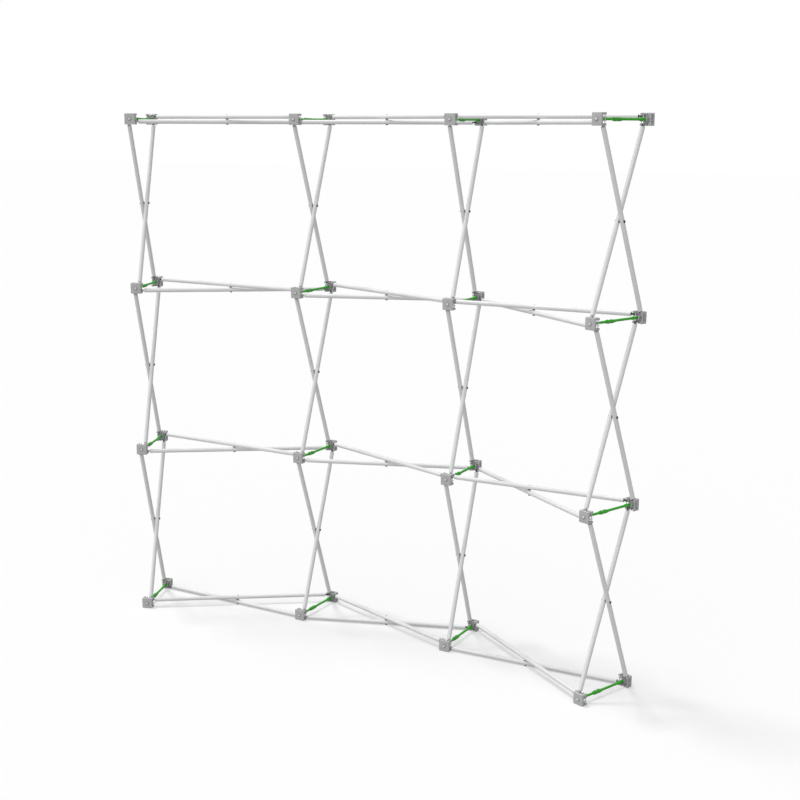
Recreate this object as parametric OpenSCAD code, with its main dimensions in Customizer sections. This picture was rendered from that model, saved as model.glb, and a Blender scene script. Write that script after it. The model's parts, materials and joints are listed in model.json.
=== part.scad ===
// Folding frame of a pop-up display backwall: a lattice of crossed tubes between square
// hubs, three cells wide and three high, with its two wings turned towards the viewer.
// X runs along the wall, Y to the rear and Z up. The origin is on the floor, under the
// middle of the frame's box.

/* [Frame] */
// Height from one row of hubs to the next
row_pitch = 730; // [600:5:800]
// Number of cells from bottom to top
cells_high = 3; // [2:1:3]
// Distance between the middles of neighbouring front hubs
bay_w = 734.5; // [600:0.5:800]
// Distance from the outer face of a front hub to the outer face of the hub behind it
frame_depth = 294; // [280:1:320]
// Turn of a wing's front line away from the middle bay, in degrees
wing_turn = 17.5; // [8:0.5:20]
// Turn of the outermost hubs, in degrees
outer_hub_turn = 20; // [10:0.5:24]

/* [Hub] */
// Width and height of the square hub
hub_w = 47; // [47:0.5:50]
// Depth of the whole hub moulding
hub_depth = 27; // [27:0.5:30]
// Thickness of the hub's outer plate
plate_t = 8; // [6:0.5:9]
// Radius of the plate's corners
plate_corner_r = 3; // [1:0.5:5]
// Distance of each tube slot from the middle of the hub
slot_off = 11; // [10.6:0.1:11.2]
// Distance of each tube pin from the middle of the hub
pin_out = 20; // [19.5:0.1:20.5]
// Depth of each tube pin behind the hub's outer face
pin_in = 22; // [21.5:0.1:22.5]
// Diameter of the tube pins and the arm pins
pin_d = 3; // [2.5:0.1:3.2]
// Length of a tube pin's end inside each corner block
pin_bite = 1.9; // [1:0.1:2]
// Thickness of the ears that hold the tube pins beside the hub's open middle
ear_t = 2; // [1.5:0.1:2.5]
// Diameter of the stud on the hub's outer face
stud_d = 11; // [8:0.5:14]
// Height of the stud above the hub's outer face
stud_h = 4; // [2:0.1:5]
// Width of the low ring around the stud
stud_ring_w = 2.5; // [1:0.1:4]
// Height of the low ring around the stud
stud_ring_h = 1; // [0.5:0.1:1.5]

/* [Tubes] */
// Outer diameter of a tube
tube_d = 18; // [16:0.1:18.4]
// Wall of a tube
tube_wall = 1; // [0.8:0.1:1.5]
// Length of the plug inside the tube
spigot_len = 18; // [12:1:30]
// Thickness of the plug's tongue
tongue_t = 6.6; // [5:0.1:6.8]
// Width of the plug's tongue
tongue_w = 9; // [8:0.1:9.4]

/* [Pivots] */
// Diameter of the rivet through two crossed tubes
rivet_d = 4; // [3:0.1:5]
// Diameter of the rivet's head
head_d = 10; // [8:0.5:12]
// Thickness of the rivet's head
head_t = 2.5; // [1.5:0.1:4]
// Diameter of the washer between the tubes
washer_d = 12; // [10:0.5:14]
// Thickness of the washer between the tubes
washer_t = 2; // [1:0.1:2.5]
// Diameter of the spacer between the tubes
spacer_d = 9; // [7:0.5:11]
// Diameter of the cap on the rivet's tail
cap_d = 10; // [8:0.5:12]
// Thickness of the cap on the rivet's tail
cap_t = 3; // [2.5:0.1:3]

/* [Locking arms] */
// Depth of the arm pins behind the hub's outer face
arm_pin_in = 24; // [23.8:0.1:24.3]
// Thickness of an arm's tongue in the hub
arm_tongue_t = 6.2; // [5:0.1:8]
// Diameter of both halves' rods
rod_d = 10; // [8:0.1:10.5]
// Distance from the hub's outer face to the near end of the clip
clip_start = 89; // [80:1:105]
// Length of the clip
clip_len = 47; // [40:1:60]
// Diameter of the clip
clip_d = 14; // [13.5:0.1:15]
// Diameter of the two rings on the clip
ring_d = 16.5; // [15:0.1:17]
// Length of each ring on the clip
ring_len = 8; // [5:0.5:9]
// Distance of each ring's middle from its end of the clip
ring_inset = 14; // [10:0.5:16]
// Thickness of the clip's closed end
clip_end_t = 4; // [3:0.5:6]
// Diameter of the rod half's shoulder at the rear hub
shoulder_d = 14.5; // [11:0.5:15]
// Length of the shoulder before it tapers
shoulder_len = 6; // [4:0.5:10]
// Length of the shoulder's taper
taper_len = 14; // [8:0.5:20]
// Angle that each arm half opens to, in degrees
arm_open = 60; // [30:5:60]

/* [Clearances] */
// Space on each side of a tongue in its slot
slot_play = 0.3; // [0.2:0.05:0.4]
// Radial space around a pin that a tongue turns on
turn_play = 0.08; // [0.04:0.01:0.1]
// Radial space around a pin that sits still
seat_play = 0.05; // [0.02:0.01:0.1]
// Space between a rod and the clip around it, and between a plug and its tube
slip_play = 0.3; // [0.2:0.05:0.5]
// Space between a rod's tip and the clip's closed end
tip_play = 2; // [1:0.5:3]
// Space between the hub and what swings or leans beside it
swing_gap = 0.8; // [0.5:0.1:1.5]

/* [Hidden] */
$fn = 48;
cut = 0.5;                                  // how far a cut runs past the surface
bays = 3;
columns = bays + 1;
core_half = slot_off - tongue_t / 2 - slot_play;
block_in = slot_off + tongue_t / 2 + slot_play;
ear_in = pin_out - pin_d;
ear_w = 2 * pin_d;
arm_slot_w = arm_tongue_t + 2 * slot_play;
tube_pin_half = block_in + pin_bite;
arm_pin_half = core_half - cut;
pinned_bore_d = pin_d + 2 * turn_play;
tube_bore_d = tube_d - 2 * tube_wall;
channel_d = rod_d + 2 * slip_play;
clip_end = clip_start + clip_len;
rod_tip = clip_start + clip_end_t + tip_play;
rear_pin = frame_depth - arm_pin_in;

// Plan of the frame, before it is centred front to back
wing_rise = bay_w * sin(wing_turn);
outer_x = bay_w / 2 + bay_w * cos(wing_turn);
front_edge = -hub_depth / 2 * cos(outer_hub_turn)
    - max(hub_w / 2 * sin(outer_hub_turn),
          stud_h * cos(outer_hub_turn) + stud_d / 2 * sin(outer_hub_turn));
rear_edge = wing_rise - hub_depth / 2 + frame_depth + stud_h;
y_mid = (front_edge + rear_edge) / 2;

// +1 right of the middle, -1 left of it
function side_of(c) = c < columns / 2 ? -1 : 1;
function is_outer(c) = c == 0 || c == columns - 1;
function column_turn(c) = is_outer(c) ? -side_of(c) * outer_hub_turn : 0;
// The middle of column c's front hubs, which they are turned about
function front_xy(c) = [side_of(c) * (is_outer(c) ? outer_x : bay_w / 2),
                        (is_outer(c) ? 0 : wing_rise) - y_mid];
function row_z(r) = (cells_high - r) * row_pitch + hub_w / 2;

// A point u along the hub's face and v behind it, seen from above
function in_plan(c, u, v) =
    let (t = column_turn(c))
    front_xy(c) + u * [cos(t), sin(t)] + (v - hub_depth / 2) * [-sin(t), cos(t)];
function side_pin(c, side, rear) =
    in_plan(c, side * pin_out, rear ? frame_depth - pin_in : pin_in);
function heading(a, b) = atan2(b.y - a.y, b.x - a.x);
function crossing(a, b, c, d) =
    let (r = b - a, s = d - c, m = c - a, t = (m.x * s.y - m.y * s.x) / (r.x * s.y - r.y * s.x))
    a + t * r;

// The two tubes of a bay, as pairs of pins: from the front left, and from the front right
function tube_from_left(b) = [side_pin(b, 1, false), side_pin(b + 1, -1, true)];
function tube_from_right(b) = [side_pin(b + 1, -1, false), side_pin(b, 1, true)];
function bay_pivot(b) =
    let (p = tube_from_left(b), q = tube_from_right(b))
    crossing(p[0], p[1], q[0], q[1]);

// Which slot the tube from the front left uses: +1 the upper, -1 the lower
function left_tube_level(r, b) =
    b == 1 ? -1 : (b == 0) == (r == cells_high) ? 1 : -1;
// Which slot the tube from the upper front hub uses: +1 the right, -1 the left
function front_tube_side(c) = c == columns - 1 ? 1 : -1;

// How far from its pin a tube starts, to clear the hub's side at this lean
function tube_start(lean) =
    (hub_w / 2 - pin_out + swing_gap + tube_d / 2 * sin(lean)) / cos(lean);
level_lean = heading(tube_from_left(0)[0], tube_from_left(0)[1]);
upright_run = row_pitch - 2 * pin_out;
upright_lean = atan2(frame_depth - 2 * pin_in, upright_run);
level_start = tube_start(level_lean);
upright_start = tube_start(upright_lean);
upright_len = norm([frame_depth - 2 * pin_in, upright_run]);
// How far from its pin a swinging part of radius r starts, to clear the hub when open
function swing_start(r) =
    (hub_depth - arm_pin_in + swing_gap + r * sin(arm_open)) / cos(arm_open);
clip_rod_start = arm_pin_in + swing_start(rod_d / 2);
shoulder_start = rear_pin - swing_start(shoulder_d / 2);

function arm_name(kind, r, c) = str(kind, "_row_", r + 1, "_column_", c + 1);

// ---------------------------------------------------------------- placing

// Column c's own frame: X along the hub's face, Y behind it
module at_column(c) {
    p = in_plan(c, 0, 0);
    translate([p.x, p.y, 0]) rotate([0, 0, column_turn(c)]) children();
}

module at_hub(c, r, rear) {
    at_column(c)
        translate([0, rear ? frame_depth : 0, row_z(r)])
            rotate([0, 0, rear ? 180 : 0]) children();
}

// A level link from pin a, with X towards pin b and Z along both pins
module level_link(a, b, z) {
    translate([a.x, a.y, z]) rotate([0, 0, heading(a, b)]) children();
}

// An upright link in column c, from the upper pin, with X towards the lower pin.
// It starts at the front hub or at the rear hub.
module upright_link(c, r, side, from_rear) {
    lean_to = from_rear ? -upright_lean : upright_lean;
    at_column(c)
        translate([side * slot_off, from_rear ? frame_depth - pin_in : pin_in, row_z(r) - pin_out])
            rotate([lean_to, 0, 0]) rotate([0, 90, 0]) children();
}

// ---------------------------------------------------------------- hub

module rounded_square(w, r) {
    square([w, w - 2 * r], center = true);
    square([w - 2 * r, w], center = true);
    for (x = [-1, 1], y = [-1, 1])
        translate([x * (w / 2 - r), y * (w / 2 - r)]) circle(r);
}

module tube_pin_shape(d, half) {
    for (side = [-1, 1]) {
        translate([side * pin_out, pin_in, 0]) cylinder(d = d, h = 2 * half, center = true);
        translate([0, pin_in, side * pin_out]) rotate([0, 90, 0]) cylinder(d = d, h = 2 * half, center = true);
    }
}

module arm_pin_shape(d, half) {
    translate([0, arm_pin_in, 0]) rotate([0, 90, 0]) cylinder(d = d, h = 2 * half, center = true);
}

module plate_outline(t) {
    rotate([-90, 0, 0]) linear_extrude(t) rounded_square(hub_w, plate_corner_r);
}

// The plate, the core, the pins' ears and the four corner blocks
module hub_solid() {
    plate_outline(plate_t);
    behind_plate(-core_half, -core_half, 2 * core_half, 2 * core_half);
    for (turn = [0 : 90 : 270], z = [-core_half, core_half - ear_t])
        rotate([0, turn, 0]) behind_plate(ear_in, z, ear_w, ear_t);
    intersection() {
        plate_outline(hub_depth);
        for (turn = [0 : 90 : 270])
            rotate([0, turn, 0]) behind_plate(block_in, block_in, hub_w, hub_w);
    }
}

// A block from [x, z] on, w wide and h high, that fills the hub's depth behind the plate
module behind_plate(x, z, w, h) {
    translate([x, plate_t / 2, z]) cube([w, hub_depth - plate_t / 2, h]);
}

module hub() {
    difference() {
        hub_solid();
        translate([-arm_slot_w / 2, plate_t, -hub_w / 2 - cut])
            cube([arm_slot_w, hub_depth, hub_w + 2 * cut]);
        tube_pin_shape(pin_d + 2 * seat_play, tube_pin_half + seat_play);
        arm_pin_shape(pin_d + 2 * seat_play, core_half + cut);
    }
    stud_part(stud_d, stud_h);
    stud_part(stud_d + 2 * stud_ring_w, stud_ring_h);
}

module stud_part(d, h) {
    translate([0, -h, 0]) rotate([-90, 0, 0]) cylinder(d = d, h = h + plate_t / 2);
}

module hubs(c, rear) {
    color([0.58, 0.58, 0.59])
        for (r = [0 : cells_high]) at_hub(c, r, rear) hub();
}

module hub_pins() {
    color([0.70, 0.70, 0.72])
        for (c = [0 : columns - 1], r = [0 : cells_high], rear = [false, true])
            at_hub(c, r, rear) {
                tube_pin_shape(pin_d, tube_pin_half);
                arm_pin_shape(pin_d, arm_pin_half);
            }
}

// ---------------------------------------------------------------- tubes

// A tube between pins len apart, start short of each, with a hole for the rivet at pivot_at
module tube(len, start, pivot_at) {
    difference() {
        translate([start, 0, 0]) rotate([0, 90, 0]) cylinder(d = tube_d, h = len - 2 * start);
        translate([start - cut, 0, 0]) rotate([0, 90, 0])
            cylinder(d = tube_bore_d, h = len - 2 * start + 2 * cut);
        translate([pivot_at, 0, 0])
            cylinder(d = rivet_d + 2 * turn_play, h = tube_d + 2 * cut, center = true);
    }
}

// The plug at a tube's end, with the pin at the origin and the tube from start towards X
module plug(start) {
    difference() {
        union() {
            cylinder(d = tongue_w, h = tongue_t, center = true);
            translate([0, -tongue_w / 2, -tongue_t / 2]) cube([start + cut, tongue_w, tongue_t]);
            translate([start, 0, 0]) rotate([0, 90, 0])
                cylinder(d = tube_bore_d - slip_play, h = spigot_len);
        }
        cylinder(d = pinned_bore_d, h = tongue_t + 2 * cut, center = true);
    }
}

module plug_pair(len, start) {
    plug(start);
    translate([len, 0, 0]) rotate([0, 0, 180]) plug(start);
}

module row_tubes(r, from_left) {
    color([0.82, 0.83, 0.85])
        for (b = [0 : bays - 1]) {
            ends = from_left ? tube_from_left(b) : tube_from_right(b);
            level = left_tube_level(r, b) * (from_left ? 1 : -1);
            level_link(ends[0], ends[1], row_z(r) + level * slot_off)
                tube(norm(ends[1] - ends[0]), level_start, norm(bay_pivot(b) - ends[0]));
        }
}

module column_tubes(c, from_rear) {
    side = front_tube_side(c) * (from_rear ? -1 : 1);
    color([0.82, 0.83, 0.85])
        for (r = [0 : cells_high - 1])
            upright_link(c, r, side, from_rear) tube(upright_len, upright_start, upright_len / 2);
}

module tube_end_plugs() {
    color([0.07, 0.07, 0.08]) {
        for (r = [0 : cells_high], b = [0 : bays - 1], from_left = [false, true]) {
            ends = from_left ? tube_from_left(b) : tube_from_right(b);
            level = left_tube_level(r, b) * (from_left ? 1 : -1);
            level_link(ends[0], ends[1], row_z(r) + level * slot_off)
                plug_pair(norm(ends[1] - ends[0]), level_start);
        }
        for (c = [0 : columns - 1], r = [0 : cells_high - 1], from_rear = [false, true])
            upright_link(c, r, front_tube_side(c) * (from_rear ? -1 : 1), from_rear)
                plug_pair(upright_len, upright_start);
    }
}

// ---------------------------------------------------------------- pivots

// Every crossing of two tubes, with Z along the rivet, towards its head
module at_pivots() {
    for (r = [0 : cells_high], b = [0 : bays - 1]) {
        p = bay_pivot(b);
        translate([p.x, p.y, row_z(r)]) children();
    }
    for (c = [0 : columns - 1], r = [0 : cells_high - 1])
        at_column(c) translate([0, frame_depth / 2, row_z(r) - row_pitch / 2])
            rotate([0, -90, 0]) children();
}

tube_crown = slot_off + tube_d / 2;          // outermost line of either tube, from the pivot
tube_inner = slot_off - tube_d / 2;          // innermost line of either tube

module rivet() {
    translate([0, 0, tube_crown + seat_play])
        rotate_extrude()
            polygon([[0, 0], [head_d / 2, 0], [head_d / 2, head_t / 2], [head_d / 3, head_t], [0, head_t]]);
    translate([0, 0, -tube_crown - seat_play - cap_t / 2])
        cylinder(d = rivet_d, h = 2 * (tube_crown + seat_play) + cap_t / 2 + head_t / 2);
}

module pivot_rivets() {
    color([0.75, 0.75, 0.77]) at_pivots() rivet();
}

// A flat ring around the rivet
module ring_on_rivet(d, z, h) {
    translate([0, 0, z]) difference() {
        cylinder(d = d, h = h);
        translate([0, 0, -cut]) cylinder(d = rivet_d + 2 * turn_play, h = h + 2 * cut);
    }
}

module cap() {
    translate([0, 0, -tube_crown - seat_play - cap_t]) difference() {
        cylinder(d = cap_d, h = cap_t);
        translate([0, 0, cap_t / 2 - seat_play])
            cylinder(d = rivet_d + 2 * seat_play, h = cap_t);
    }
}

module pivot_washers() {
    gap = 2 * (tube_inner - seat_play);
    washer_z = gap / 2 - washer_t;
    at_pivots() {
        color([0.07, 0.07, 0.08]) ring_on_rivet(washer_d, washer_z, washer_t);
        color([0.80, 0.80, 0.80]) ring_on_rivet(spacer_d, -gap / 2, gap - washer_t - seat_play);
        color([0.07, 0.07, 0.08]) cap();
    }
}

// ---------------------------------------------------------------- locking arms

// A round bar along Y, from y0 to y1
module bar(d, y0, y1) {
    translate([0, y0, 0]) rotate([-90, 0, 0]) cylinder(d = d, h = y1 - y0);
}

// The flat end that turns on an arm pin at pin_y and reaches to y
module arm_tongue(pin_y, y) {
    translate([-arm_tongue_t / 2, min(pin_y, y), -rod_d / 2])
        cube([arm_tongue_t, abs(y - pin_y), rod_d]);
    translate([0, pin_y, 0]) rotate([0, 90, 0]) cylinder(d = rod_d, h = arm_tongue_t, center = true);
}

module arm_pin_bore(pin_y) {
    translate([0, pin_y, 0]) rotate([0, 90, 0])
        cylinder(d = pinned_bore_d, h = arm_tongue_t + 2 * cut, center = true);
}

// The front half, with the clip that is open at its top
module clip_arm() {
    difference() {
        union() {
            arm_tongue(arm_pin_in, clip_rod_start + cut);
            bar(rod_d, clip_rod_start, clip_start + cut);
            bar(clip_d, clip_start, clip_end);
            for (y = [clip_start + ring_inset, clip_end - ring_inset])
                bar(ring_d, y - ring_len / 2, y + ring_len / 2);
        }
        arm_pin_bore(arm_pin_in);
        bar(channel_d, clip_start + clip_end_t, clip_end + cut);
        translate([-channel_d / 2, clip_start + clip_end_t, 0])
            cube([channel_d, clip_len, ring_d]);
    }
}

// The rear half, whose rod lies in the clip
module rod_arm() {
    difference() {
        union() {
            arm_tongue(rear_pin, shoulder_start - cut);
            translate([0, shoulder_start, 0]) rotate([90, 0, 0]) rotate_extrude()
                polygon([[0, 0], [shoulder_d / 2, 0], [shoulder_d / 2, shoulder_len],
                         [rod_d / 2, shoulder_len + taper_len], [0, shoulder_len + taper_len]]);
            bar(rod_d, rod_tip, shoulder_start - shoulder_len);
        }
        arm_pin_bore(rear_pin);
    }
}

module arm_at(r, c) {
    color([0.16, 0.58, 0.13]) at_column(c) translate([0, 0, row_z(r)]) children();
}

// ---------------------------------------------------------------- nodes

for (c = [0 : columns - 1]) {
    hubs(c, false);
    hubs(c, true);
    column_tubes(c, false);
    column_tubes(c, true);
}
for (r = [0 : cells_high]) {
    row_tubes(r, true);
    row_tubes(r, false);
}
tube_end_plugs();
hub_pins();
pivot_rivets();
pivot_washers();
for (r = [0 : cells_high], c = [0 : columns - 1]) {
    arm_at(r, c) clip_arm();
    arm_at(r, c) rod_arm();
}
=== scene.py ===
"""Bare folding frame of a pop-up display backwall, dressed for looking at.

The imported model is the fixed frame: every piece here stands where its CAD node stands.
Sizes are metres, X runs along the wall, Y to the rear and Z up from the floor.
"""

from __future__ import annotations

import json
import logging
import math
from dataclasses import dataclass, field
from enum import Enum
from itertools import product
from typing import Any, Callable, Iterable, Mapping, Sequence

import bmesh
import bpy
from mathutils import Matrix, Vector

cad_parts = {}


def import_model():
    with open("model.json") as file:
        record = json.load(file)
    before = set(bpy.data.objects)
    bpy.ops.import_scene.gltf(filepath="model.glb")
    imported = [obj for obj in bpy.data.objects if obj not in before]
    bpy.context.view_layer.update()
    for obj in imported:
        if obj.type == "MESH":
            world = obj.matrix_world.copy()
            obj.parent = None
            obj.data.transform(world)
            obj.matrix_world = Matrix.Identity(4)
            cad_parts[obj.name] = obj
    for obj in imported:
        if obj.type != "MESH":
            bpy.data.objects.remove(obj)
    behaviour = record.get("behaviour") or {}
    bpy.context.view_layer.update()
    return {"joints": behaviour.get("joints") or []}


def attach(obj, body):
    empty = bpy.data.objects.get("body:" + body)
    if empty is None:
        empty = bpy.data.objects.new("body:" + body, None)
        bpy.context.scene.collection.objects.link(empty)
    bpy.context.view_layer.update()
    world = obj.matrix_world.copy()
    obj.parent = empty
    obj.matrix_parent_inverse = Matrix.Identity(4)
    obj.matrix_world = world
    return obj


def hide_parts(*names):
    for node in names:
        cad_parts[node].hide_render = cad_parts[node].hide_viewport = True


LOG = logging.getLogger("backwall")
MM = 0.001
UP = Vector((0.0, 0.0, 1.0))
LATTICE = "lattice"
ARM_PIN_IN = 24 * MM
ROWS = COLUMNS = range(1, 5)
REST = "rest"
SHARP_ANGLE = math.radians(35.0)
WHITE = (1.0, 1.0, 1.0, 1.0)
Colour = tuple[float, float, float]


# ---------------------------------------------------------------- node graphs


class Sock:
    """A node's output in a graph, with arithmetic that adds Math nodes."""

    def __init__(self, graph: "Graph", socket: bpy.types.NodeSocket) -> None:
        """Wraps an output of a node in the graph."""
        self.graph = graph
        self.socket = socket

    def _math(self, operation: str, first: Any, second: Any) -> "Sock":
        """Adds one Math node and returns its result."""
        return self.graph.node("ShaderNodeMath", {"operation": operation}, {0: first, 1: second})

    def __add__(self, other: Any) -> "Sock":
        """Returns self + other."""
        return self._math("ADD", self, other)

    def __radd__(self, other: Any) -> "Sock":
        """Returns other + self."""
        return self._math("ADD", other, self)

    def __sub__(self, other: Any) -> "Sock":
        """Returns self - other."""
        return self._math("SUBTRACT", self, other)

    def __rsub__(self, other: Any) -> "Sock":
        """Returns other - self."""
        return self._math("SUBTRACT", other, self)

    def __mul__(self, other: Any) -> "Sock":
        """Returns self * other."""
        return self._math("MULTIPLY", self, other)

    def at_most(self, other: Any) -> "Sock":
        """Returns the smaller of self and other."""
        return self._math("MINIMUM", self, other)

    def at_least(self, other: Any) -> "Sock":
        """Returns the larger of self and other."""
        return self._math("MAXIMUM", self, other)

    def from_to(self, zero: float, one: float) -> "Sock":
        """Returns 0 at the first value, 1 at the second, and a straight line between."""
        return ((self - zero) * (1.0 / (one - zero))).at_least(0.0).at_most(1.0)


def find_socket(sockets: Any, key: str | int) -> bpy.types.NodeSocket:
    """Finds a node's socket.

    Args:
        sockets: The node's inputs or outputs.
        key: The socket's index, its identifier or its name.

    Returns:
        The socket.
    """
    if isinstance(key, int):
        return sockets[key]
    for socket in sockets:
        if socket.identifier == key:
            return socket
    return next(s for s in sockets if s.name == key and s.enabled)


class Graph:
    """A node tree and the one method that adds a node to it."""

    def __init__(self, tree: bpy.types.NodeTree) -> None:
        """Wraps a tree that is empty or about to be filled."""
        self.tree = tree

    def node(
        self,
        kind: str,
        settings: Mapping[str, Any] | None = None,
        sockets: Mapping[str | int, Any] | None = None,
        out: str | int = 0,
    ) -> Sock:
        """Adds a node.

        Args:
            kind: The node's type.
            settings: Properties, set first; "stops" fills a colour ramp.
            sockets: Values or links of its inputs.
            out: The output to return.

        Returns:
            The chosen output, wrapped.
        """
        node = self.tree.nodes.new(kind)
        for name, value in (settings or {}).items():
            if name == "stops":
                self._fill_ramp(node.color_ramp, value)
            else:
                setattr(node, name, value)
        for key, value in (sockets or {}).items():
            self.feed(find_socket(node.inputs, key), value)
        outputs = node.outputs
        return Sock(self, find_socket(outputs, out) if len(outputs) else None)

    def feed(self, socket: bpy.types.NodeSocket, value: Any) -> None:
        """Links a wrapped output to an input, or sets the input's value."""
        if isinstance(value, Sock):
            self.tree.links.new(value.socket, socket)
        elif value is not None:
            socket.default_value = value

    @staticmethod
    def _fill_ramp(ramp: bpy.types.ColorRamp, stops: Iterable[tuple[float, float]]) -> None:
        """Sets a ramp's two stops from pairs of place and grey."""
        for element, (place, grey) in zip(ramp.elements, stops):
            element.position, element.color = place, (grey, grey, grey, 1.0)

    def blend_colour(self, factor: Any, first: Any, second: Any) -> Sock:
        """Mixes two colours.

        Args:
            factor: 0 for the first colour, 1 for the second.
            first: A wrapped colour or three numbers.
            second: A wrapped colour or three numbers.

        Returns:
            The mixed colour.
        """
        return self.node(
            "ShaderNodeMix",
            {"data_type": "RGBA"},
            {"Factor_Float": factor, "A_Color": rgba(first), "B_Color": rgba(second)},
            "Result_Color",
        )

    def vector(self, operation: str, first: Any, second: Any = None, out: str = "Vector") -> Sock:
        """Adds one Vector Math node and returns the named output."""
        return self.node(
            "ShaderNodeVectorMath", {"operation": operation}, {0: first, 1: second}, out
        )

    def split(self, vector: Sock) -> list[Sock]:
        """Returns a vector's X, Y and Z."""
        node = self.node("ShaderNodeSeparateXYZ", None, {0: vector}).socket.node
        return [Sock(self, node.outputs[axis]) for axis in "XYZ"]


def rgba(colour: Any) -> Any:
    """Gives three plain numbers an alpha of 1, and leaves a wrapped colour as it is."""
    return colour if isinstance(colour, Sock) else (*colour, 1.0)


def shaded(colour: Colour, factor: float) -> Colour:
    """Returns a colour made lighter or darker, at most white."""
    return tuple(min(1.0, part * factor) for part in colour)


# ---------------------------------------------------------------- finishes


class ShaderGraph(Graph):
    """A new material's graph."""

    def __init__(self, name: str) -> None:
        """Makes an empty material of this name."""
        self.material = bpy.data.materials.new(name)
        self.material.use_nodes = True
        super().__init__(self.material.node_tree)
        self.tree.nodes.clear()

    def place(self) -> Sock:
        """Returns the Object coordinates."""
        return self.node("ShaderNodeTexCoord", out="Object")

    def rest(self) -> Sock:
        """Returns where on its own template, or along its own tube, a point is."""
        return self.node("ShaderNodeAttribute", {"attribute_name": REST}, out="Vector")

    def stretched(self, coordinates: Sock, scale: tuple[float, float, float]) -> Sock:
        """Returns the coordinates times a scale on each axis."""
        return self.node("ShaderNodeMapping", None, {"Vector": coordinates, "Scale": scale})

    def noise(
        self, coordinates: Sock, scale: float, detail: float = 2.0, rough: float = 0.5
    ) -> Sock:
        """Returns noise from 0 to 1, mostly near 0.5.

        Args:
            coordinates: Where the noise is read.
            scale: Lumps to the metre.
            detail: Number of finer layers.
            rough: Share of each finer layer.

        Returns:
            The noise's value.
        """
        return self.node(
            "ShaderNodeTexNoise",
            None,
            {"Vector": coordinates, "Scale": scale, "Detail": detail, "Roughness": rough},
            "Factor" if bpy.app.version >= (5, 0, 0) else "Fac",
        )

    def above(self, value: Sock, none: float, full: float) -> Sock:
        """Returns black up to the first value and white from the second on."""
        stops = ((none, 0.0), (full, 1.0))
        return self.node("ShaderNodeValToRGB", {"stops": stops}, {0: value}, "Color")

    def bump(self, height: Sock, depth: float) -> Sock:
        """Returns the normal of a relief that is depth metres deep."""
        sockets = {"Height": height, "Distance": depth, "Strength": 1.0}
        return self.node("ShaderNodeBump", None, sockets, "Normal")

    def surface(self, **sockets: Any) -> bpy.types.Material:
        """Closes the graph with a Principled shader.

        Args:
            **sockets: Its inputs, with an underscore for a space in a name.

        Returns:
            The finished material.
        """
        named = {key.replace("_", " "): value for key, value in sockets.items()}
        shader = self.node("ShaderNodeBsdfPrincipled", None, named, "BSDF")
        self.node("ShaderNodeOutputMaterial", None, {"Surface": shader})
        return self.material


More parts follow.
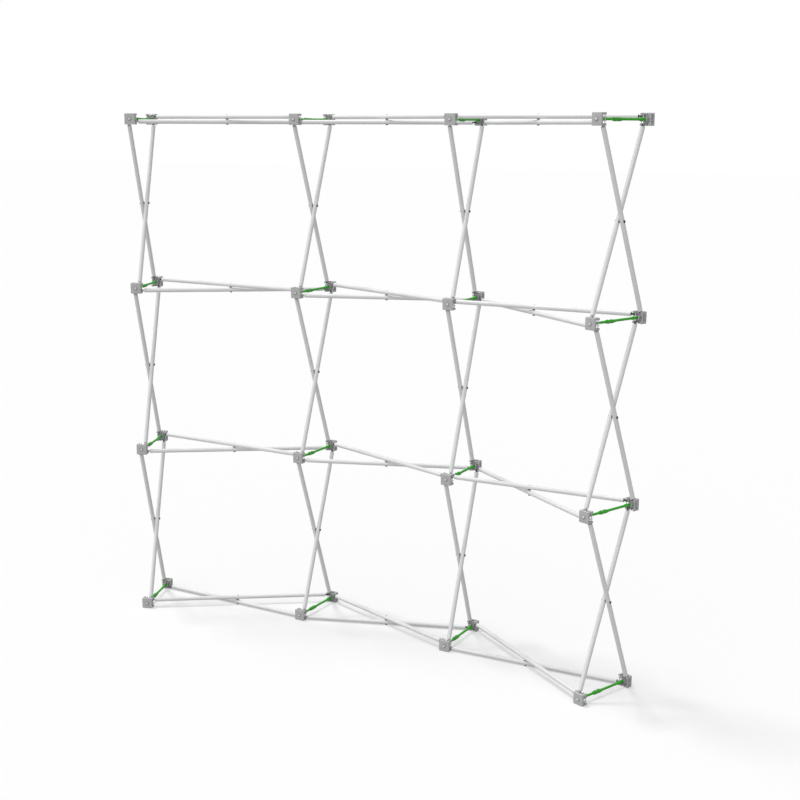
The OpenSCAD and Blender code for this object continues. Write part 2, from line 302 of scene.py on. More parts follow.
@dataclass(frozen=True)
class MouldedPlastic:
    """Injection-moulded plastic with a fine spark-eroded grain and light scuffs.

    Attributes:
        tone: Share by which the colour varies to either side.
        scuff: Strength of the scuffs.
        gloss: The shader's specular level.
        worn_from: Distance from the middle, on X or Z, from which edges are rubbed.
        worn_deep: Depth on Y to which they are.
        stud_radius: Radius of a stud with a painted highlight on its end and painted shade around
            it, or 0 for none.
    """

    name: str
    base: Colour
    roughness: float
    grain_depth: float = 0.16 * MM
    grain_scale: float = 1500.0
    tone: float = 0.13
    scuff: float = 0.4
    gloss: float = 0.5
    worn_from: float = 1.0
    worn_deep: float = 1.0
    stud_radius: float = 0.0

    def material(self) -> bpy.types.Material:
        """Builds the material and returns it."""
        graph = ShaderGraph(self.name)
        place = graph.place()
        grain = graph.noise(place, self.grain_scale, detail=3.0, rough=0.6)
        lengthwise = graph.stretched(place, (1.0, 1.0, 0.18))
        scratches = graph.above(graph.noise(lengthwise, 900.0, rough=0.7), 0.62, 0.72)
        patches = graph.above(graph.noise(place, 70.0), 0.52, 0.66)
        scuffs = scratches * patches
        wear_and_highlight = self._worn_rim(graph)
        roughness = self.roughness - 0.06 + grain * 0.12 + scuffs * (0.3 * self.scuff)
        return graph.surface(
            Base_Color=self._colour(graph, scuffs, wear_and_highlight),
            Roughness=roughness - wear_and_highlight * 0.1,
            Normal=graph.bump(grain, self.grain_depth),
            Specular_IOR_Level=self.gloss,
        )

    def _colour(self, graph: ShaderGraph, scuffs: Sock, wear_and_highlight: Sock) -> Sock:
        """Returns the colour: cloudy, paler where it is scuffed or its rim is rubbed, with a
        painted highlight on the stud's end and painted shade around the stud.
        """
        dark, light = (shaded(self.base, 1.0 + tone) for tone in (-self.tone, self.tone))
        pale = tuple(part + (0.5 - part) * 0.35 for part in self.base)
        cloud = graph.noise(graph.place(), 38.0, detail=3.0)
        body = graph.blend_colour(cloud, dark, light)
        rubbed = (scuffs * self.scuff + wear_and_highlight * 0.6).at_most(1.0)
        colour = graph.blend_colour(rubbed, body, pale)
        if not self.stud_radius:
            return colour
        # Painted shade in the corner around the stud, and a painted highlight on the stud's end.
        end, corner = self._stud_painted_light(graph)
        colour = graph.blend_colour(corner * 0.55, colour, shaded(self.base, 0.35))
        return graph.blend_colour(end, colour, shaded(self.base, 1.45))

    def _stud_painted_light(self, graph: ShaderGraph) -> tuple[Sock, Sock]:
        """Returns where the stud's end gets a painted highlight, and the painted shade in the
        corner around it.
        """
        rest = graph.rest()
        flat = graph.vector("MULTIPLY", rest, (1.0, 0.0, 1.0))
        out = graph.vector("LENGTH", flat, out="Value")
        deep = graph.split(rest)[1]
        raised = deep.from_to(-1.2 * MM, -1.6 * MM)
        inside = out.from_to(self.stud_radius, self.stud_radius - 0.5 * MM)
        around = out.from_to(self.stud_radius + 4.0 * MM, self.stud_radius + 1.0 * MM)
        # Noise mottles the stud's painted highlight.
        wear_and_highlight = 0.75 + graph.noise(graph.place(), 420.0, detail=3.0) * 0.25
        return raised * inside * wear_and_highlight, around * (1.0 - raised) * deep.from_to(1.0 * MM, 0.5 * MM)

    def _worn_rim(self, graph: ShaderGraph) -> Sock:
        """Returns how far the outer edges are rubbed, from 0 to 1."""
        across, deep, high = graph.split(graph.vector("ABSOLUTE", graph.rest()))
        out = across.at_least(high).from_to(self.worn_from, self.worn_from + 1.5 * MM)
        patches = graph.noise(graph.place(), 160.0, detail=3.0, rough=0.6)
        return out * deep.from_to(self.worn_deep, 0.0) * graph.above(patches, 0.4, 0.6)


@dataclass(frozen=True)
class DrawnAluminium:
    """Satin anodised tube with fine lines along it, rubbed brighter in places."""

    name: str
    base: Colour
    metallic: float
    roughness: float
    line_depth: float = 0.035 * MM

    def material(self) -> bpy.types.Material:
        """Builds the material, whose lines run along each tube, and returns it."""
        graph = ShaderGraph(self.name)
        rest = graph.rest()
        drawn = graph.stretched(rest, (1.0, 1.0, 0.012))
        lines = graph.noise(drawn, 1700.0, detail=3.0, rough=0.6)
        bands = graph.noise(graph.stretched(rest, (1.0, 1.0, 0.05)), 180.0)
        cloud = graph.noise(graph.place(), 7.0, detail=3.0)
        marks = graph.above(graph.noise(rest, 260.0, detail=3.0, rough=0.7), 0.68, 0.76)
        mix = lines * 0.4 + bands * 0.3 + cloud * 0.3
        body = graph.blend_colour(mix, shaded(self.base, 0.82), shaded(self.base, 1.13))
        colour = graph.blend_colour(marks * 0.2, body, shaded(self.base, 0.75))
        roughness = self.roughness - 0.09 + lines * 0.1 + bands * 0.08 + marks * 0.08
        return graph.surface(
            Base_Color=colour,
            Metallic=self.metallic,
            Roughness=roughness,
            Normal=graph.bump(lines, self.line_depth),
        )


@dataclass(frozen=True)
class TurnedSteel:
    """Plated steel with faint turning marks and small dull spots."""

    name: str
    base: Colour
    roughness: float
    metallic: float = 1.0
    mark_depth: float = 0.01 * MM

    def material(self) -> bpy.types.Material:
        """Builds the material and returns it."""
        graph = ShaderGraph(self.name)
        place = graph.place()
        fine = graph.noise(place, 2400.0, rough=0.6)
        spots = graph.above(graph.noise(place, 420.0, detail=3.0), 0.55, 0.7)
        body = graph.blend_colour(fine, shaded(self.base, 0.93), self.base)
        colour = graph.blend_colour(spots * 0.3, body, shaded(self.base, 0.7))
        return graph.surface(
            Base_Color=colour,
            Metallic=self.metallic,
            Roughness=self.roughness - 0.04 + fine * 0.08 + spots * 0.15,
            Normal=graph.bump(fine, self.mark_depth),
        )


class Finish(Enum):
    """The frame's finishes, one material each."""

    HUB = MouldedPlastic(
        "hub_grey_moulded",
        (0.465, 0.465, 0.47),
        0.52,
        worn_from=22.0 * MM,
        worn_deep=3.5 * MM,
        stud_radius=6.2 * MM,
    )
    # Front plugs are grey, not black, and paler than the hubs: painted light that lifts the shade
    # on them in the hubs' slots.
    HUB_PLUG = MouldedPlastic("plug_grey_moulded", (0.56, 0.56, 0.565), 0.5)
    PLUG = MouldedPlastic("plug_black_moulded", (0.03, 0.03, 0.032), 0.45, tone=0.15)
    WASHER = MouldedPlastic("washer_black_nylon", (0.028, 0.028, 0.03), 0.5, tone=0.15)
    SPACER = MouldedPlastic("spacer_pale_nylon", (0.62, 0.62, 0.61), 0.45)
    ARM = MouldedPlastic(
        "arm_green_moulded",
        (0.036, 0.39, 0.016),
        0.38,
        grain_depth=0.03 * MM,
        grain_scale=900.0,
        tone=0.12,
        scuff=0.2,
        gloss=0.25,
        worn_from=7.0 * MM,
    )
    TUBE = DrawnAluminium("tube_satin_aluminium", (0.77, 0.77, 0.78), 0.05, 0.42)
    PIN = TurnedSteel("pin_ground_steel", (0.55, 0.55, 0.56), 0.3)
    RIVET = TurnedSteel("rivet_plated_silver", (0.70, 0.70, 0.71), 0.28)

    def made(self) -> bpy.types.Material:
        """Returns this finish's material, built on first use."""
        ready = bpy.data.materials.get(self.value.name)
        return ready or self.value.material()


# ---------------------------------------------------------------- geometry tools


class GeometryTool(Graph):
    """A Geometry Nodes tree with named inputs, run on a mesh to make a plain mesh."""

    name = "tool"
    inputs: Mapping[str, str] = {}

    def __init__(self) -> None:
        """Makes the tree with its inputs and one output."""
        super().__init__(bpy.data.node_groups.new(self.name, "GeometryNodeTree"))
        face = self.tree.interface
        face.new_socket("Geometry", in_out="INPUT", socket_type="NodeSocketGeometry")
        self.keys = {
            label: face.new_socket(label, in_out="INPUT", socket_type=kind).identifier
            for label, kind in self.inputs.items()
        }
        face.new_socket("Geometry", in_out="OUTPUT", socket_type="NodeSocketGeometry")
        self.source = self.tree.nodes.new("NodeGroupInput")
        self.build()

    def given(self, label: str) -> Sock:
        """Returns one of the tree's inputs by its name."""
        return Sock(self, find_socket(self.source.outputs, label))

    def build(self) -> None:
        """Fills the tree."""
        raise NotImplementedError

    def read(self, name: str, kind: str) -> Sock:
        """Returns a named attribute's value."""
        return self.node("GeometryNodeInputNamedAttribute", {"data_type": kind}, {"Name": name})

    def close(self, geometry: Sock) -> None:
        """Ends the tree in real geometry with the material from the input Finish."""
        real = self.node("GeometryNodeRealizeInstances", None, {"Geometry": geometry})
        sockets = {"Geometry": real, "Material": self.given("Finish")}
        dressed = self.node("GeometryNodeSetMaterial", None, sockets)
        self.node("NodeGroupOutput", None, {0: dressed})

    def run(
        self,
        name: str,
        source: bpy.types.Mesh,
        values: Mapping[str, Any],
        after: Callable[[bpy.types.Object], None] | None = None,
    ) -> bpy.types.Object:
        """Runs the tree on a mesh.

        Args:
            name: The finished piece's name.
            source: The mesh that the tree starts from.
            values: The tree's inputs, by name.
            after: Adds modifiers that follow the tree.

        Returns:
            A piece with a plain mesh and no modifiers.
        """
        piece = bpy.data.objects.new(name, source)
        bpy.context.scene.collection.objects.link(piece)
        modifier = piece.modifiers.new(self.name, "NODES")
        modifier.node_group = self.tree
        for label, value in values.items():
            modifier[self.keys[label]] = value
        if after:
            after(piece)
        return made_plain(piece, name)


def made_plain(piece: bpy.types.Object, name: str) -> bpy.types.Object:
    """Replaces an object's mesh and modifiers by the plain mesh that they make.

    Args:
        piece: The object to change.
        name: The new mesh's name.

    Returns:
        The same object.
    """
    bpy.context.view_layer.update()
    evaluated = piece.evaluated_get(bpy.context.evaluated_depsgraph_get())
    plain = bpy.data.meshes.new_from_object(evaluated)
    piece.modifiers.clear()
    piece.data = plain
    plain.name = name
    return piece


class PlacedCopies(GeometryTool):
    """Sets a template on every point, turned as the point's attribute says."""

    name = "placed_copies"
    inputs = {"Template": "NodeSocketObject", "Finish": "NodeSocketMaterial"}
    turn = "turn"

    def build(self) -> None:
        """Fills the tree."""
        template = self.node(
            "GeometryNodeObjectInfo",
            {"transform_space": "ORIGINAL"},
            {"Object": self.given("Template")},
            "Geometry",
        )
        turn = self.read(self.turn, "FLOAT_VECTOR")
        rotation = self.node("FunctionNodeEulerToRotation", None, {0: turn})
        sockets = {"Points": self.given("Geometry"), "Instance": template, "Rotation": rotation}
        self.close(self.node("GeometryNodeInstanceOnPoints", None, sockets))

    def copy_to(
        self, name: str, template: bpy.types.Object, places: Sequence[Matrix], finish: Finish
    ) -> bpy.types.Object:
        """Sets a template on every place.

        Args:
            name: The finished piece's name.
            template: The shape to repeat, about its own origin.
            places: Where each copy goes.
            finish: Its material.

        Returns:
            One plain piece that holds all the copies.
        """
        points = bpy.data.meshes.new(name + "_points")
        points.from_pydata([tuple(m.to_translation()) for m in places], [], [])
        turns = points.attributes.new(self.turn, "FLOAT_VECTOR", "POINT")
        for item, place in zip(turns.data, places):
            item.vector = tuple(place.to_euler())
        piece = self.run(name, points, {"Template": template, "Finish": finish.made()})
        spare = piece.data.attributes.get(self.turn)
        if spare:
            piece.data.attributes.remove(spare)
        return piece


class SweptTubes(GeometryTool):
    """Sweeps a round wall along every edge and notes where on the tube each point is."""

    name = "swept_tubes"
    inputs = {
        "Radius": "NodeSocketFloat",
        "Sides": "NodeSocketInt",
        "Finish": "NodeSocketMaterial",
    }

    def build(self) -> None:
        """Fills the tree."""
        radius = self.given("Radius")
        line = self.node("GeometryNodeMeshToCurve", None, {"Mesh": self.given("Geometry")})
        along = self.node("GeometryNodeSplineParameter", out="Length")
        line = self.noted(line, "along", "FLOAT", along)
        profile = self.node(
            "GeometryNodeCurvePrimitiveCircle",
            {"mode": "RADIUS"},
            {"Resolution": self.given("Sides"), "Radius": radius},
            "Curve",
        )
        around = self.node("GeometryNodeInputPosition")
        profile = self.noted(profile, "around", "FLOAT_VECTOR", around)
        sockets = {"Curve": line, "Profile Curve": profile}
        wall = self.node("GeometryNodeCurveToMesh", None, sockets)
        x, y, _ = self.split(self.read("around", "FLOAT_VECTOR"))
        sockets = {0: x, 1: y, 2: self.read("along", "FLOAT")}
        rest = self.node("ShaderNodeCombineXYZ", None, sockets)
        wall = self.noted(wall, REST, "FLOAT_VECTOR", rest)
        for spare in ("along", "around"):
            sockets = {"Geometry": wall, "Name": spare}
            wall = self.node("GeometryNodeRemoveAttribute", None, sockets)
        self.close(wall)

    def noted(self, geometry: Sock, name: str, kind: str, value: Sock) -> Sock:
        """Stores a value on the geometry's points.

        Args:
            geometry: What gets the attribute.
            name: The attribute's name.
            kind: Its data type.
            value: Its value.

        Returns:
            The geometry with the attribute.
        """
        return self.node(
            "GeometryNodeStoreNamedAttribute",
            {"data_type": kind, "domain": "POINT"},
            {"Geometry": geometry, "Name": name, "Value": value},
        )


# ---------------------------------------------------------------- where things are


def turned_frame(x_axis: Vector, z_axis: Vector, origin: Vector) -> Matrix:
    """Makes a place from two axes at right angles.

    Args:
        x_axis: Direction of the place's X.
        z_axis: Direction of the place's Z.
        origin: The place's origin.

    Returns:
        The place as a matrix.
    """
    x, z = x_axis.normalized(), z_axis.normalized()
    place = Matrix((x, z.cross(x), z)).transposed().to_4x4()
    place.translation = origin
    return place


@dataclass(frozen=True)
class Column:
    """One column of hubs: the middle of its front face in plan, and its two directions."""

    face: Vector
    along: Vector
    behind: Vector
    depth: float

    def across(self, spot: Vector) -> float:
        """Returns how far along the hubs' face a point is from the column's middle."""
        return (spot - self.face).dot(self.along)

    def behind_face(self, spot: Vector) -> float:
        """Returns how far a point is behind the front hubs' outer face."""
        return (spot - self.face).dot(self.behind)

    def point(self, u: float, v: float, height: float) -> Vector:
        """Returns the point u along the face, v behind it and at this height."""
        spot = self.face + self.along * u + self.behind * v
        return Vector((spot.x, spot.y, height))

    def hub_place(self, rear: bool, height: float) -> Matrix:
        """Returns a hub's place: X along its face, Y into it, from the outer face."""
        outer_face = self.point(0.0, self.depth if rear else 0.0, height)
        return turned_frame(self.along * (-1.0 if rear else 1.0), UP, outer_face)


@dataclass(frozen=True)
class Link:
    """One tube's line from pin to pin, its pins' direction and its ends' gap to them."""

    start: Vector
    end: Vector
    pin: Vector
    gap: float

    @property
    def run(self) -> Vector:
        """The way from the first pin to the second."""
        return self.end - self.start

    def tube_ends(self) -> list[Vector]:
        """Returns the middles of the tube's two ends."""
        step = self.run.normalized() * self.gap
        return [self.start + step, self.end - step]

    def plug_places(self) -> list[Matrix]:
        """Returns the places of its two plugs, each with X towards the tube."""
        ends = ((self.run, self.start), (-self.run, self.end))
        return [turned_frame(way, self.pin, pin) for way, pin in ends]


@dataclass
class Layout:
    """Where the frame's hubs, tubes and pivots are, worked out from the arms' hinges."""

    columns: list[Column]
    heights: list[float]
    pin_out: float = 20 * MM
    pin_in: float = 22 * MM
    slot_off: float = 11 * MM
    tube_radius: float = 9 * MM
    hub_half: float = 23.5 * MM
    swing_gap: float = 0.8 * MM

    @classmethod
    def from_joints(cls, joints: Iterable[Mapping[str, Any]]) -> "Layout":
        """Reads the columns and the rows from the hinges of the locking arms.

        Args:
            joints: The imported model's joints.

        Returns:
            The layout.
        """
        at = {j["name"]: (Vector(j["pos_m"]), Vector(j["axis"])) for j in joints}
        columns = []
        for c in COLUMNS:
            front, axis = at[f"clip_arm_row_1_column_{c}_swing"]
            rear, _ = at[f"rod_arm_row_1_column_{c}_swing"]
            behind = (rear - front).normalized()
            face = front - behind * ARM_PIN_IN
            face.z = 0.0
            depth = (rear - front).length + 2 * ARM_PIN_IN
            columns.append(Column(face, -axis.normalized(), behind, depth))
        heights = [at[f"clip_arm_row_{r}_column_1_swing"][0].z for r in ROWS]
        return cls(columns, heights)

    def sides(self) -> Iterable[tuple[int, bool]]:
        """Returns every column's number, with False for its front and True for its rear."""
        return product(range(len(self.columns)), (False, True))

    def side_pin(self, column: int, side: int, rear: bool, height: float) -> Vector:
        """Returns the middle of the pin that a level tube turns on."""
        place = self.columns[column]
        behind = place.depth - self.pin_in if rear else self.pin_in
        return place.point(side * self.pin_out, behind, height)

    def is_rear(self, spot: Vector) -> bool:
        """Returns whether a tube's pin is at a rear hub."""
        place = min(self.columns, key=lambda column: abs(column.across(spot)))
        return place.behind_face(spot) > place.depth / 2

    def tube_gap(self, lean: float) -> float:
        """Returns how far from its pin a tube starts, to clear the hub at this lean."""
        side = self.hub_half - self.pin_out + self.swing_gap
        return (side + self.tube_radius * math.sin(lean)) / math.cos(lean)

    def level_links(self, row: int, from_left: bool) -> list[Link]:
        """Returns a row's tubes that start at the front left, or at the front right.

        Args:
            row: 0 for the top row.
            from_left: Which of each bay's two tubes.

        Returns:
            One link for each bay.
        """
        steepest = self.side_pin(1, -1, True, 0.0) - self.side_pin(0, 1, False, 0.0)
        gap = self.tube_gap(math.atan2(steepest.y, steepest.x))
        bottom = row == len(self.heights) - 1
        links = []
        for bay in range(len(self.columns) - 1):
            # The tube from the left runs high in the right bay, at the bottom in the left bay.
            level = 1 if bay != 1 and (bay == 0) == bottom else -1
            height = self.heights[row] + (level if from_left else -level) * self.slot_off
            near, far, side = (bay, bay + 1, 1) if from_left else (bay + 1, bay, -1)
            start = self.side_pin(near, side, False, height)
            end = self.side_pin(far, -side, True, height)
            links.append(Link(start, end, UP, gap))
        return links

    def upright_links(self, column: int, from_rear: bool) -> list[Link]:
        """Returns a column's tubes that start at the upper front hub, or the upper rear hub.

        Args:
            column: 0 for the leftmost column.
            from_rear: Which of each cell's two tubes.

        Returns:
            One link for each cell.
        """
        place = self.columns[column]
        side = (1 if column == len(self.columns) - 1 else -1) * (-1 if from_rear else 1)
        near, far = self.pin_in, place.depth - self.pin_in
        drop = self.heights[0] - self.heights[1] - 2 * self.pin_out
        gap = self.tube_gap(math.atan2(far - near, drop))
        if from_rear:
            near, far = far, near
        return [
            Link(
                place.point(side * self.slot_off, near, upper - self.pin_out),
                place.point(side * self.slot_off, far, lower + self.pin_out),
                place.along,
                gap,
            )
            for upper, lower in zip(self.heights, self.heights[1:])
        ]

    def all_level_links(self) -> list[Link]:
        """Returns every level tube's link."""
        pairs = product(range(len(self.heights)), (True, False))
        return [link for row, from_left in pairs for link in self.level_links(row, from_left)]

    def all_upright_links(self) -> list[Link]:
        """Returns every upright tube's link."""
        return [link for column, rear in self.sides() for link in self.upright_links(column, rear)]

    def hub_places(self, column: int, rear: bool) -> list[Matrix]:
        """Returns the places of a column's front hubs or rear hubs, from the top."""
        return [self.columns[column].hub_place(rear, height) for height in self.heights]

    def all_hub_places(self) -> list[Matrix]:
        """Returns the places of all the hubs."""
        return [place for column, rear in self.sides() for place in self.hub_places(column, rear)]

    def pivot_places(self) -> list[Matrix]:
        """Returns every crossing of two tubes, with Z towards the rivet's head."""
        places = []
        for row, height in enumerate(self.heights):
            pairs = zip(self.level_links(row, True), self.level_links(row, False))
            for first, second in pairs:
                spot = crossing(first, second)
                places.append(Matrix.Translation(Vector((spot.x, spot.y, height))))
        for place in self.columns:
            for upper, lower in zip(self.heights, self.heights[1:]):
                spot = place.point(0.0, place.depth / 2, (upper + lower) / 2)
                places.append(turned_frame(UP, -place.along, spot))
        return places


def crossing(first: Link, second: Link) -> Vector:
    """Returns the point where two level links cross in plan."""
    r, s, m = first.run, second.run, second.start - first.start
    share = (m.x * s.y - m.y * s.x) / (r.x * s.y - r.y * s.x)
    return first.start + r * share


# ---------------------------------------------------------------- templates


@dataclass(frozen=True)
class Rim:
    """An outline across Y that is rounded more than the other edges."""

    y: float
    reach: float
    radius: float
    segments: int = 5
    slack: float = 0.05 * MM

    def round_off(self, mesh: bmesh.types.BMesh) -> None:
        """Rounds the edges at this Y that lie further out than the reach."""
        rim = [
            edge
            for edge in mesh.edges
            if all(abs(v.co.y - self.y) < self.slack for v in edge.verts)
            and all(math.hypot(v.co.x, v.co.z) > self.reach for v in edge.verts)
        ]
        bmesh.ops.bevel(
            mesh,
            geom=rim,
            offset=self.radius,
            segments=self.segments,
            profile=0.5,
            affect="EDGES",
            clamp_overlap=True,
        )


@dataclass(frozen=True)
class CadShape:
    """One solid of a CAD node, copied, cleaned and given softened edges."""

    node: str
    place: Matrix
    middle: Vector
    reach: float
    edge: float
    segments: int = 2
    rims: tuple[Rim, ...] = ()
    weld: float = 0.002 * MM
    flat_angle: float = math.radians(0.6)

    def template(self, name: str) -> bpy.types.Object:
        """Makes a hidden object about its own origin, to be copied to every place.

        Args:
            name: The template's name.

        Returns:
            The template, which is not linked to the scene.
        """
        source = bpy.data.objects[self.node].data
        spot = self.place @ self.middle
        mesh = bmesh.new()
        for polygon in source.polygons:
            corners = [source.vertices[i].co for i in polygon.vertices]
            if all((corner - spot).length < self.reach for corner in corners):
                mesh.faces.new([mesh.verts.new(corner) for corner in corners])
        bmesh.ops.remove_doubles(mesh, verts=mesh.verts, dist=self.weld)
        self._keep_nearest(mesh, spot)
        flat = self.flat_angle
        bmesh.ops.dissolve_limit(mesh, angle_limit=flat, verts=mesh.verts, edges=mesh.edges)
        bmesh.ops.transform(mesh, matrix=self.place.inverted(), verts=mesh.verts)
        for rim in self.rims:
            rim.round_off(mesh)
        for face in mesh.faces:
            face.smooth = True
        plain = bpy.data.meshes.new(name)
        mesh.to_mesh(plain)
        mesh.free()
        template = bpy.data.objects.new(name, plain)
        bpy.context.scene.collection.objects.link(template)
        bevel = template.modifiers.new("soft_edges", "BEVEL")
        bevel.width, bevel.segments = self.edge, self.segments
        bevel.limit_method, bevel.angle_limit = "ANGLE", SHARP_ANGLE
        bevel.harden_normals = True
        made_plain(template, name)
        rest = template.data.attributes.new(REST, "FLOAT_VECTOR", "POINT")
        for item, vert in zip(rest.data, template.data.vertices):
            item.vector = vert.co
        bpy.context.scene.collection.objects.unlink(template)
        return template

    @staticmethod
    def _keep_nearest(mesh: bmesh.types.BMesh, spot: Vector) -> None:
        """Keeps only the solid whose box has its middle nearest to the spot."""
        waiting = set(mesh.verts)
        solids = []
        while waiting:
            reached = [waiting.pop()]
            solid = set(reached)
            while reached:
                near = {vert for edge in reached.pop().link_edges for vert in edge.verts}
                fresh = near & waiting
                waiting -= fresh
                solid |= fresh
                reached.extend(fresh)
            solids.append(solid)

        def distance(solid: set[bmesh.types.BMVert]) -> float:
            """Returns how far the middle of a solid's box is from the spot."""
            spans = [[vert.co[axis] for vert in solid] for axis in range(3)]
            return (Vector([(min(span) + max(span)) / 2 for span in spans]) - spot).length

        kept = min(solids, key=distance)
        spare = [v for v in mesh.verts if v not in kept]
        bmesh.ops.delete(mesh, geom=spare, context="VERTS")


def finished(piece: bpy.types.Object, body: str, slot: str, *nodes: str) -> None:
    """Hands a finished piece to the frame.

    Args:
        piece: The piece, in place.
        body: The CAD body that it moves with.
        slot: The record's material slot; not used.
        *nodes: The CAD nodes that it stands for.
    """
    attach(piece, body)
    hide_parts(*nodes)
    LOG.info("%s: %d faces on %s", piece.name, len(piece.data.polygons), body)


# ---------------------------------------------------------------- the frame's pieces


@dataclass
class Hubs:
    """The moulded hubs, and the pins that cross them."""

    layout: Layout
    copies: PlacedCopies
    middle: float = 11.5 * MM
    reach: float = 60 * MM
    edge: float = 0.6 * MM
    rims: tuple[Rim, ...] = (Rim(0.0, 15 * MM, 1.8 * MM), Rim(-4 * MM, 3 * MM, 1.7 * MM))
    pin_reach: float = 40 * MM
    pin_edge: float = 0.3 * MM

    def build(self) -> None:
        """Makes one piece for each column's front hubs and rear hubs, and the pins."""
        lowest = self.layout.hub_places(1, False)[-1]
        middle = Vector((0.0, self.middle, 0.0))
        shape = CadShape(
            "front_hubs_column_2", lowest, middle, self.reach, self.edge, rims=self.rims
        )
        template = shape.template("hub_template")
        for column, rear in self.layout.sides():
            node = f"{'rear' if rear else 'front'}_hubs_column_{column + 1}"
            places = self.layout.hub_places(column, rear)
            piece = self.copies.copy_to(f"{node}_moulded", template, places, Finish.HUB)
            finished(piece, LATTICE, "hub_grey", node)
        self._pins(lowest)

    def _pins(self, lowest: Matrix) -> None:
        """Makes the tubes' pins and the arms' pins, copied from those of one hub."""
        out, deep = self.layout.pin_out, self.layout.pin_in
        across = Matrix.Rotation(math.pi / 2, 4, "Y")
        upright = [Matrix.Translation((side * out, deep, 0.0)) for side in (-1, 1)]
        level = [Matrix.Translation((0.0, deep, side * out)) @ across for side in (-1, 1)]
        arm = [Matrix.Translation((0.0, ARM_PIN_IN, 0.0)) @ across]
        for name, spots in (("tube_pins_ground", upright + level), ("arm_pins_ground", arm)):
            place = lowest @ spots[0]
            shape = CadShape("hub_pins", place, Vector(), self.pin_reach, self.pin_edge)
            template = shape.template(name + "_template")
            places = [hub @ spot for hub in self.layout.all_hub_places() for spot in spots]
            piece = self.copies.copy_to(name, template, places, Finish.PIN)
            finished(piece, LATTICE, "pin_steel", "hub_pins")


@dataclass
class Tubes:
    """The level and upright tubes, and the plugs in their ends."""

    layout: Layout
    copies: PlacedCopies
    wall: float = 1 * MM
    sides: int = 40
    spigot: float = 18 * MM
    tongue_past_pin: float = 4.5 * MM
    plug_reach: float = 45 * MM
    plug_edge: float = 0.4 * MM
    sweep: SweptTubes = field(default_factory=SweptTubes)

    def build(self) -> None:
        """Makes one piece for each CAD node of tubes, and one for all the plugs."""
        for row, from_left in product(range(len(self.layout.heights)), (True, False)):
            node = f"row_{row + 1}_tubes_from_front_{'left' if from_left else 'right'}"
            self._tubes(node, self.layout.level_links(row, from_left))
        for column, from_rear in self.layout.sides():
            node = f"column_{column + 1}_tubes_from_{'rear' if from_rear else 'front'}_top"
            self._tubes(node, self.layout.upright_links(column, from_rear))
        self._plugs()

    def _tubes(self, node: str, links: Sequence[Link]) -> None:
        """Makes the tubes of one CAD node."""
        ends = [end for link in links for end in link.tube_ends()]
        lines = bpy.data.meshes.new(node + "_lines")
        edges = [(i, i + 1) for i in range(0, len(ends), 2)]
        lines.from_pydata([tuple(end) for end in ends], edges, [])
        finish, radius = Finish.TUBE.made(), self.layout.tube_radius
        values = {"Radius": radius, "Sides": self.sides, "Finish": finish}
        piece = self.sweep.run(f"{node}_drawn", lines, values, self._thicken)
        piece.data.set_sharp_from_angle(angle=SHARP_ANGLE)
        finished(piece, LATTICE, "tube_aluminium", node)

    def _thicken(self, piece: bpy.types.Object) -> None:
        """Gives the swept wall its thickness, inwards."""
        solid = piece.modifiers.new("wall", "SOLIDIFY")
        solid.thickness, solid.offset = self.wall, -1.0

    def _plugs(self) -> None:
        """Makes the plugs at the front hubs, in a grey paler than the hubs that is painted light
        against the shade in the slots, and those at the rear hubs, in black.
        """
        level, upright = self.layout.all_level_links(), self.layout.all_upright_links()
        for kind, links in (("level", level), ("upright", upright)):
            last = links[-1]
            half_way = (last.gap + self.spigot - self.tongue_past_pin) / 2
            shape = CadShape(
                "tube_end_plugs",
                last.plug_places()[0],
                Vector((half_way, 0.0, 0.0)),
                self.plug_reach,
                self.plug_edge,
            )
            template = shape.template(f"{kind}_plug_template")
            spots = [spot for link in links for spot in link.plug_places()]
            for rear, slot, finish in (
                (False, "hub_grey", Finish.HUB_PLUG),
                (True, "plug_black", Finish.PLUG),
            ):
                name = f"{kind}_plugs_at_{'rear' if rear else 'front'}_hubs"
                chosen = [s for s in spots if self.layout.is_rear(s.to_translation()) == rear]
                piece = self.copies.copy_to(name, template, chosen, finish)
                finished(piece, LATTICE, slot, "tube_end_plugs")


@dataclass
class Pivots:
    """The rivets where two tubes cross, with the washers, spacers and caps on them."""

    layout: Layout
    copies: PlacedCopies
    source: int = 10
    reach: float = 40 * MM

    def build(self) -> None:
        """Makes one piece of each kind of part, from the parts of one pivot."""
        places = self.layout.pivot_places()
        first = places[self.source]
        kinds = (
            ("pivot_rivets_plated", "pivot_rivets", 0.5, 0.5, Finish.RIVET, "rivet_silver"),
            ("pivot_black_washers", "pivot_washers", 0.95, 0.35, Finish.WASHER, "washer_black"),
            ("pivot_pale_spacers", "pivot_washers", -1.025, 0.3, Finish.SPACER, "rivet_silver"),
            ("pivot_tail_caps", "pivot_washers", -21.55, 0.9, Finish.WASHER, "washer_black"),
        )
        for name, node, height, edge, finish, slot in kinds:
            middle = Vector((0.0, 0.0, height * MM))
            shape = CadShape(node, first, middle, self.reach, edge * MM, 3)
            template = shape.template(name + "_template")
            piece = self.copies.copy_to(name, template, places, finish)
            finished(piece, LATTICE, slot, node)


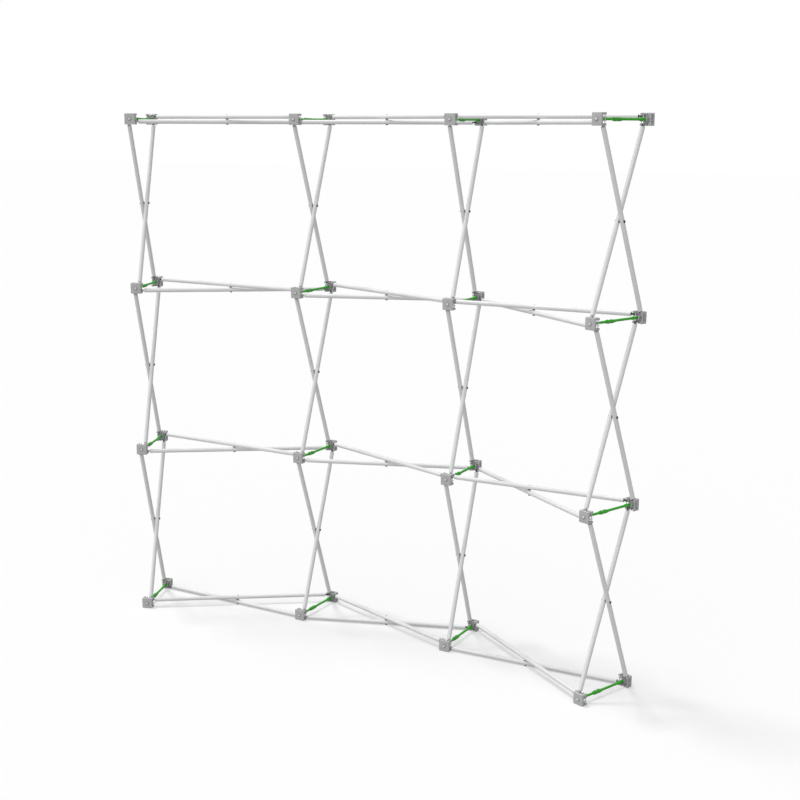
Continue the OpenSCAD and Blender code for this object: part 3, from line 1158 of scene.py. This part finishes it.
@dataclass
class LockingArms:
    """The green arms between a front hub and the hub behind it, in two halves each."""

    layout: Layout
    copies: PlacedCopies
    reach: float = 200 * MM
    edge: float = 0.5 * MM

    def build(self) -> None:
        """Makes one piece for each half of each arm."""
        rows, columns = len(self.layout.heights), len(self.layout.columns)
        source = self._arm_place(rows - 1, 1)
        middle = Vector((0.0, self.layout.columns[1].depth / 2, 0.0))
        for kind in ("clip_arm", "rod_arm"):
            shape = CadShape(f"{kind}_row_{rows}_column_2", source, middle, self.reach, self.edge)
            template = shape.template(f"{kind}_template")
            for row, column in product(range(rows), range(columns)):
                node = f"{kind}_row_{row + 1}_column_{column + 1}"
                places = [self._arm_place(row, column)]
                piece = self.copies.copy_to(f"{node}_moulded", template, places, Finish.ARM)
                finished(piece, node, "arm_green", node)

    def _arm_place(self, row: int, column: int) -> Matrix:
        """Returns an arm's place: Y from the front hub's outer face to the rear."""
        return self.layout.columns[column].hub_place(False, self.layout.heights[row])


# ---------------------------------------------------------------- studio


@dataclass(frozen=True)
class ViewPoint:
    """The camera at the photograph's angle."""

    position: tuple[float, float, float] = (2.8069, -4.7742, 2.1805)
    yaw: float = -29.281
    pitch: float = 11.5676
    roll: float = -0.2049
    lens: float = 59.87
    sensor: float = 36.0
    nearest: float = 0.1
    furthest: float = 300.0

    def build(self) -> None:
        """Adds the camera to the scene."""
        yaw, pitch, roll = (math.radians(a) for a in (self.yaw, self.pitch, self.roll))
        level = Vector((math.sin(yaw), math.cos(yaw), 0.0))
        ahead = level * math.cos(pitch) - UP * math.sin(pitch)
        right = Vector((math.cos(yaw), -math.sin(yaw), 0.0))
        down = ahead.cross(right)
        x = right * math.cos(roll) + down * math.sin(roll)
        y = right * math.sin(roll) - down * math.cos(roll)
        data = bpy.data.cameras.new("photo_camera")
        data.lens, data.sensor_width, data.sensor_fit = self.lens, self.sensor, "HORIZONTAL"
        data.clip_start, data.clip_end = self.nearest, self.furthest
        camera = bpy.data.objects.new("photo_camera", data)
        place = Matrix((x, y, -ahead)).transposed().to_4x4()
        place.translation = self.position
        camera.matrix_world = place
        bpy.context.scene.collection.objects.link(camera)
        bpy.context.scene.camera = camera


@dataclass(frozen=True)
class Studio:
    """White floor and surroundings, with soft light from the front and a sun at the upper left."""

    light_from: tuple[float, float, float] = (-0.2, -0.9, 0.4)
    world_low: float = 0.05
    world_high: float = 1.5
    sun_from: tuple[float, float, float] = (-0.4, 0.05, 1.0)
    sun_power: float = 1.45
    sun_angle: float = 9.0
    floor_size: float = 120.0
    floor_colour: float = 0.5
    floor_glow: float = 0.42
    floor_bounce: float = 0.3

    def build(self) -> None:
        """Adds the floor, the surroundings and the lamp."""
        bpy.context.scene.view_settings.view_transform = "Standard"
        self._world()
        self._sun()
        self._floor()

    @staticmethod
    def _seen(graph: Graph) -> Sock:
        """Returns 1 for rays that show the background, from the camera or off a gloss."""
        path = graph.node("ShaderNodeLightPath", out="Is Camera Ray").socket.node
        kinds = ("Is Camera Ray", "Is Glossy Ray", "Is Transmission Ray")
        camera, glossy, through = (Sock(graph, path.outputs[name]) for name in kinds)
        return (camera + glossy + through).at_most(1.0)

    def _mixed(self, graph: Graph, lights: Sock, shown: Sock, output: str) -> None:
        """Ends a graph in one shader that lights the frame and one that is seen."""
        sockets = {0: self._seen(graph), 1: lights, 2: shown}
        mixed = graph.node("ShaderNodeMixShader", None, sockets)
        graph.node(output, None, {"Surface": mixed})

    def _world(self) -> None:
        """Makes surroundings that look white and light the frame mostly from the front."""
        world = bpy.data.worlds.new("studio")
        world.use_nodes = True
        bpy.context.scene.world = world
        graph = Graph(world.node_tree)
        graph.tree.nodes.clear()
        way = graph.node("ShaderNodeTexCoord", out="Generated")
        key = tuple(Vector(self.light_from).normalized())
        facing = graph.vector("DOT_PRODUCT", way, key, "Value")
        share = (facing * 0.5 + 0.5).at_least(0.0)
        strength = self.world_low + share * share * (self.world_high - self.world_low)
        light, white = (
            graph.node("ShaderNodeBackground", None, {"Color": WHITE, "Strength": level})
            for level in (strength, 1.0)
        )
        self._mixed(graph, light, white, "ShaderNodeOutputWorld")

    def _sun(self) -> None:
        """Adds one soft sun."""
        data = bpy.data.lights.new("soft_key", "SUN")
        data.energy, data.angle = self.sun_power, math.radians(self.sun_angle)
        lamp = bpy.data.objects.new("soft_key", data)
        lamp.rotation_euler = Vector(self.sun_from).to_track_quat("Z", "Y").to_euler()
        bpy.context.scene.collection.objects.link(lamp)

    def _floor(self) -> None:
        """Lays a floor that looks white, keeps soft shadows and bounces little light."""
        half = self.floor_size / 2
        mesh = bpy.data.meshes.new("floor")
        corners = ((-half, -half), (half, -half), (half, half), (-half, half))
        mesh.from_pydata([(x, y, 0.0) for x, y in corners], [], [(0, 1, 2, 3)])
        floor = bpy.data.objects.new("floor", mesh)
        bpy.context.scene.collection.objects.link(floor)
        graph = ShaderGraph("floor_white")
        pale, bounce = (
            graph.node("ShaderNodeBsdfDiffuse", None, {"Color": rgba((grey,) * 3)})
            for grey in (self.floor_colour, self.floor_bounce)
        )
        sockets = {"Color": WHITE, "Strength": self.floor_glow}
        glow = graph.node("ShaderNodeEmission", None, sockets)
        shown = graph.node("ShaderNodeAddShader", None, {0: pale, 1: glow})
        self._mixed(graph, bounce, shown, "ShaderNodeOutputMaterial")
        mesh.materials.append(graph.material)


def main() -> None:
    """Builds the dressed frame and its studio."""
    logging.basicConfig(level=logging.INFO, format="%(name)s: %(message)s")
    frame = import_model()
    ViewPoint().build()
    Studio().build()
    layout = Layout.from_joints(frame["joints"])
    copies = PlacedCopies()
    Hubs(layout, copies).build()
    Tubes(layout, copies).build()
    Pivots(layout, copies).build()
    LockingArms(layout, copies).build()


if __name__ == "__main__":
    main()
